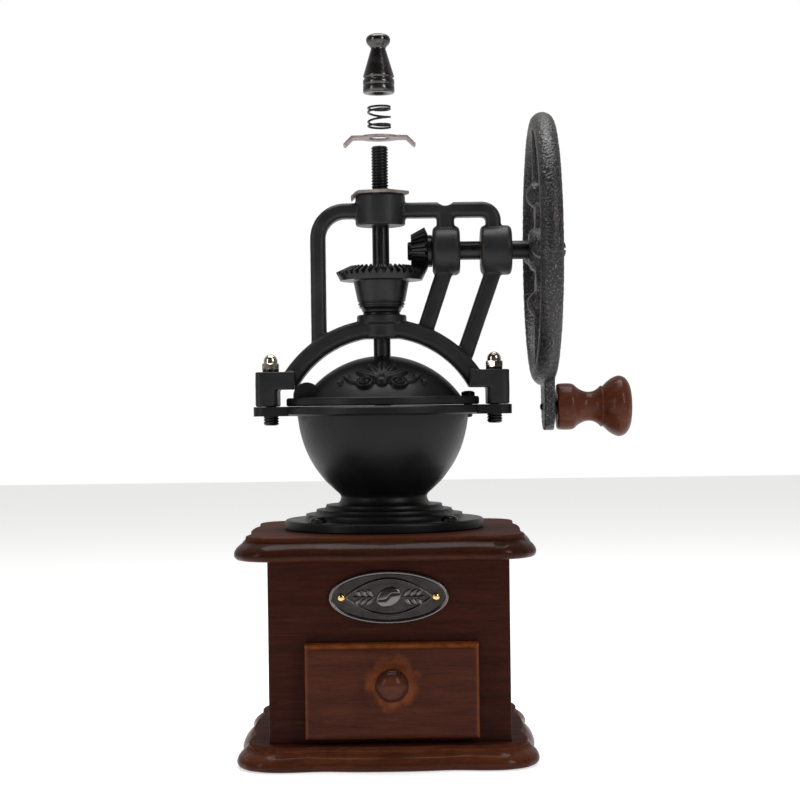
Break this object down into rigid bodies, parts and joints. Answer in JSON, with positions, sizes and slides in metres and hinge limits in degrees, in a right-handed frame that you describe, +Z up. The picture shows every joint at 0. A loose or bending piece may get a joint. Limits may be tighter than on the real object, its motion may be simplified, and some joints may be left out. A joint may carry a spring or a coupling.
{
  "type": "coffee grinder mill",
  "caption": "Box coffee mill with hand wheel, open yoke with bevel gears, iron hopper, swinging lid and drawer; grind adjuster shown lifted apart.",
  "frame": {"origin": "on the grinding spindle's axis at the underside of the base plate", "axes": "+Z up along the spindle, the drawer faces -Y, the hand wheel is on +X"},
  "size_m": [0.1844, 0.1435, 0.3358],
  "materials": {
    "wood_plate": "dark mahogany varnish, glossy",
    "wood_cabinet": "very dark mahogany varnish, glossy",
    "wood_raw": "plain unvarnished softwood",
    "wood_drawer": "dark red-brown mahogany varnish with worn orange edges",
    "wood_knob": "turned and varnished brown hardwood",
    "plate_enamel": "pressed plate, dark lacquer over a raised rim",
    "iron_satin": "satin black enamelled casting",
    "iron_hammered": "hammered dark grey-black casting",
    "steel_black": "black oxide",
    "steel_burr": "hardened steel, oiled",
    "steel_bright": "plain turned steel",
    "plate_steel": "zinc passivated stamping, tan",
    "spring_steel": "oil-blackened spring wire",
    "nut_polished": "polished black enamel over turned metal",
    "nickel": "bright nickel",
    "brass": "bright brass",
    "bronze": "plain bearing bronze"
  },
  "bodies": {
    "stand": {"base_plate": "wood_plate", "top_plate": "wood_plate", "front_panel": "wood_cabinet", "back_panel": "wood_cabinet", "left_panel": "wood_cabinet", "right_panel": "wood_cabinet", "drawer_guides": "wood_raw", "base_screws": "steel_bright", "nameplate": "plate_enamel", "nameplate_pins": "brass", "hopper_bowl": "iron_satin", "hopper_screws": "steel_black", "outer_burr": "steel_burr", "lower_bearing_bridge": "iron_satin", "bridge_screws": "steel_black", "yoke_frame": "iron_satin", "shaft_bushes": "bronze", "yoke_studs": "steel_black", "yoke_washers": "steel_black", "acorn_nuts": "nickel", "lid_screw": "steel_black"},
    "crank": {"crank_shaft": "steel_black", "pinion": "steel_black", "pinion_pin": "steel_black", "hand_wheel": "iron_hammered", "wheel_screw": "steel_black", "handle_pin": "steel_black"},
    "grip": {"handle_knob": "wood_knob"},
    "gear": {"crown_gear": "steel_black", "gear_key": "steel_bright", "thrust_washer": "steel_black"},
    "adjuster": {"adjusting_plate": "plate_steel"},
    "spindle_group": {"spindle": "steel_black", "inner_burr": "steel_burr", "burr_nut": "steel_bright"},
    "lock_plate": {"lock_plate": "plate_steel"},
    "lock_spring": {"lock_spring": "spring_steel"},
    "top_nut": {"top_nut": "nut_polished"},
    "lid": {"hopper_lid": "iron_satin"},
    "drawer": {"drawer_front": "wood_drawer", "drawer_left_side": "wood_raw", "drawer_right_side": "wood_raw", "drawer_back": "wood_raw", "drawer_bottom": "wood_raw", "drawer_knob": "wood_knob", "drawer_knob_screw": "steel_bright"}
  },
  "joints": [
    {"name": "crank_turn", "type": "hinge", "parent": "stand", "child": "crank", "pos_m": [0.05, 0, 0.2327], "axis": [1, 0, 0], "continuous": true},
    {"name": "handle_knob_spin", "type": "hinge", "parent": "crank", "child": "grip", "pos_m": [0.1, 0, 0.1584], "axis": [1, 0, 0], "continuous": true},
    {"name": "gear_spin", "type": "hinge", "parent": "stand", "child": "gear", "pos_m": [0, 0, 0.21], "axis": [0, 0, 1], "continuous": true},
    {"name": "fineness_turn", "type": "hinge", "parent": "gear", "child": "adjuster", "pos_m": [0, 0, 0.26], "axis": [0, 0, 1], "range_deg": [-540, 0]},
    {"name": "spindle_lift", "type": "slide", "parent": "gear", "child": "spindle_group", "axis": [0, 0, 1], "range_m": [0, 0.00212]},
    {"name": "lock_plate_drop", "type": "slide", "parent": "spindle_group", "child": "lock_plate", "axis": [0, 0, 1], "range_m": [-0.0235, 0]},
    {"name": "spring_drop", "type": "slide", "parent": "lock_plate", "child": "lock_spring", "axis": [0, 0, 1], "range_m": [-0.00375, 0]},
    {"name": "top_nut_drop", "type": "slide", "parent": "lock_spring", "child": "top_nut", "axis": [0, 0, 1], "range_m": [-0.0113, 0], "deforming": ["lock_spring"]},
    {"name": "lid_swing", "type": "hinge", "parent": "stand", "child": "lid", "pos_m": [0.0403, 0, 0.162], "axis": [0, 0, 1], "range_deg": [0, 20]},
    {"name": "drawer_slide", "type": "slide", "parent": "stand", "child": "drawer", "axis": [0, -1, 0], "range_m": [0, 0.075]}
  ],
  "couplings": [
    {"joint": "gear_spin", "follows": "crank_turn", "ratio": 0.5},
    {"joint": "fineness_turn", "follows": "spindle_lift", "rad_per_m": -4452}
  ]
}
